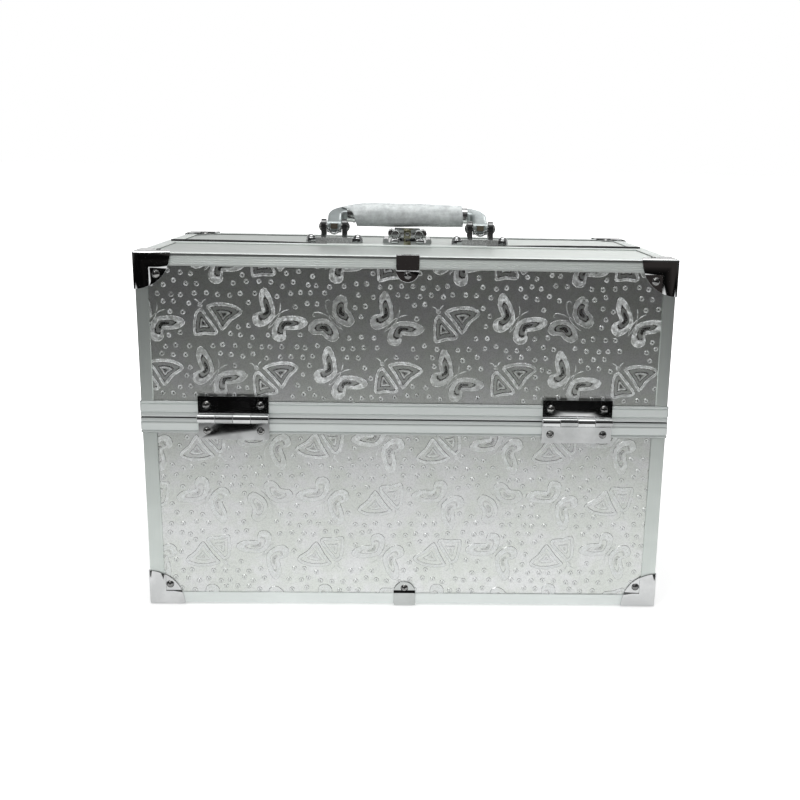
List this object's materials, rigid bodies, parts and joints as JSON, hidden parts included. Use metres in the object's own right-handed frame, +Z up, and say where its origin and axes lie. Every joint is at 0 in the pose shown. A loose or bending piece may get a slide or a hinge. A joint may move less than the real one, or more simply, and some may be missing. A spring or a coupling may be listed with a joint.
{
  "type": "makeup case",
  "caption": "Aluminium-framed make-up case: half lids fold out to front and rear and lift cantilever trays on parallel bars; folding handle and key latch on top.",
  "frame": {"origin": "centre of the case's footprint, on the surface it stands on", "axes": "+X along the case's width to the right, +Y from the front to the rear, +Z up"},
  "size_m": [0.363, 0.2354, 0.2752],
  "materials": {
    "embossed_sheet": "thin board faced with an embossed satin silver sheet",
    "top_sheet": "thin board faced with a satin silver sheet",
    "bottom_board": "thin board faced with a black sheet",
    "frame_aluminium": "satin anodised, drawn profile",
    "chrome_plate": "polished plating on pressed sheet",
    "rivet_chrome": "polished plating",
    "pin_steel": "bright zinc",
    "bar_steel": "bright zinc with fine grain",
    "lining": "short flocked pile",
    "brass_parts": "polished",
    "handle_paint": "satin pale silver lacquer",
    "grip_cover": "smooth silver grip",
    "clear_film": "translucent wrinkled film",
    "tray_plastic": "fine grained black",
    "divider_plastic": "fine grained black"
  },
  "bodies": {
    "base": {"base_long_boards": "embossed_sheet", "base_end_boards": "embossed_sheet", "base_bottom_board": "bottom_board", "base_posts": "frame_aluminium", "base_bottom_rails": "frame_aluminium", "base_rim": "frame_aluminium", "base_corner_plates": "chrome_plate", "base_clips": "chrome_plate", "base_rivets": "rivet_chrome", "base_hinge_leaves": "chrome_plate", "hinge_pins": "pin_steel", "base_lining": "lining", "bar_pivots": "pin_steel"},
    "front_lid": {"front_lid_side_boards": "embossed_sheet", "front_lid_top_board": "top_sheet", "front_lid_posts": "frame_aluminium", "front_lid_top_rails": "frame_aluminium", "front_lid_rim": "frame_aluminium", "front_lid_seam_rail": "frame_aluminium", "front_lid_corner_plates": "chrome_plate", "front_lid_clip": "chrome_plate", "front_lid_hinge_leaves": "chrome_plate", "front_lid_rivets": "rivet_chrome", "front_lid_lining": "lining", "front_lid_tray_pins": "pin_steel", "latch_keeper": "brass_parts"},
    "rear_lid": {"rear_lid_side_boards": "embossed_sheet", "rear_lid_top_board": "top_sheet", "rear_lid_posts": "frame_aluminium", "rear_lid_top_rails": "frame_aluminium", "rear_lid_rim": "frame_aluminium", "rear_lid_seam_rail": "frame_aluminium", "rear_lid_corner_plates": "chrome_plate", "rear_lid_clip": "chrome_plate", "rear_lid_hinge_leaves": "chrome_plate", "rear_lid_rivets": "rivet_chrome", "rear_lid_lining": "lining", "rear_lid_tray_pins": "pin_steel", "handle_brackets": "chrome_plate", "latch_housing": "chrome_plate"},
    "lock": {"lock_cylinder": "brass_parts", "lock_cam": "pin_steel"},
    "handle": {"handle_pins": "rivet_chrome", "handle_arms": "handle_paint", "handle_ferrules": "chrome_plate", "grip": "grip_cover", "grip_sleeve": "clear_film"},
    "front_bars": {"front_tray_bars": "bar_steel", "front_bar_rivets": "pin_steel"},
    "rear_bars": {"rear_tray_bars": "bar_steel", "rear_bar_rivets": "pin_steel"},
    "front_lower_tray": {"front_lower_tray": "tray_plastic", "front_lower_dividers": "divider_plastic"},
    "front_upper_tray": {"front_upper_tray": "tray_plastic", "front_upper_dividers": "divider_plastic"},
    "rear_lower_tray": {"rear_lower_tray": "tray_plastic", "rear_lower_dividers": "divider_plastic"},
    "rear_upper_tray": {"rear_upper_tray": "tray_plastic", "rear_upper_dividers": "divider_plastic"}
  },
  "joints": [
    {"name": "front_lid_hinge", "type": "hinge", "parent": "base", "child": "front_lid", "pos_m": [0, -0.1145, 0.136], "axis": [1, 0, 0], "range_deg": [0, 90]},
    {"name": "front_bar_swing", "type": "hinge", "parent": "base", "child": "front_bars", "pos_m": [0, -0.07776, 0.132], "axis": [1, 0, 0], "range_deg": [0, 90]},
    {"name": "front_lower_tray_pivot", "type": "hinge", "parent": "front_bars", "child": "front_lower_tray", "pos_m": [0, -0.03353, 0.16297], "axis": [1, 0, 0], "range_deg": [-90, 0]},
    {"name": "front_upper_tray_pivot", "type": "hinge", "parent": "front_bars", "child": "front_upper_tray", "pos_m": [0, -0.011, 0.17875], "axis": [1, 0, 0], "range_deg": [-90, 0]},
    {"name": "rear_lid_hinge", "type": "hinge", "parent": "base", "child": "rear_lid", "pos_m": [0, 0.1145, 0.136], "axis": [-1, 0, 0], "range_deg": [0, 90]},
    {"name": "rear_bar_swing", "type": "hinge", "parent": "base", "child": "rear_bars", "pos_m": [0, 0.07776, 0.132], "axis": [-1, 0, 0], "range_deg": [0, 90]},
    {"name": "rear_lower_tray_pivot", "type": "hinge", "parent": "rear_bars", "child": "rear_lower_tray", "pos_m": [0, 0.03353, 0.16297], "axis": [-1, 0, 0], "range_deg": [-90, 0]},
    {"name": "rear_upper_tray_pivot", "type": "hinge", "parent": "rear_bars", "child": "rear_upper_tray", "pos_m": [0, 0.011, 0.17875], "axis": [-1, 0, 0], "range_deg": [-90, 0]},
    {"name": "handle_swing", "type": "hinge", "parent": "rear_lid", "child": "handle", "pos_m": [0, 0.01, 0.258], "axis": [1, 0, 0], "range_deg": [0, 110]},
    {"name": "lock_turn", "type": "hinge", "parent": "rear_lid", "child": "lock", "pos_m": [0, 0.009, 0.2495], "axis": [0, 0, -1], "range_deg": [0, 90]}
  ],
  "couplings": [
    {"joint": "front_bar_swing", "follows": "front_lid_hinge", "ratio": 1},
    {"joint": "front_lower_tray_pivot", "follows": "front_lid_hinge", "ratio": -1},
    {"joint": "front_upper_tray_pivot", "follows": "front_lid_hinge", "ratio": -1},
    {"joint": "rear_bar_swing", "follows": "rear_lid_hinge", "ratio": 1},
    {"joint": "rear_lower_tray_pivot", "follows": "rear_lid_hinge", "ratio": -1},
    {"joint": "rear_upper_tray_pivot", "follows": "rear_lid_hinge", "ratio": -1}
  ]
}
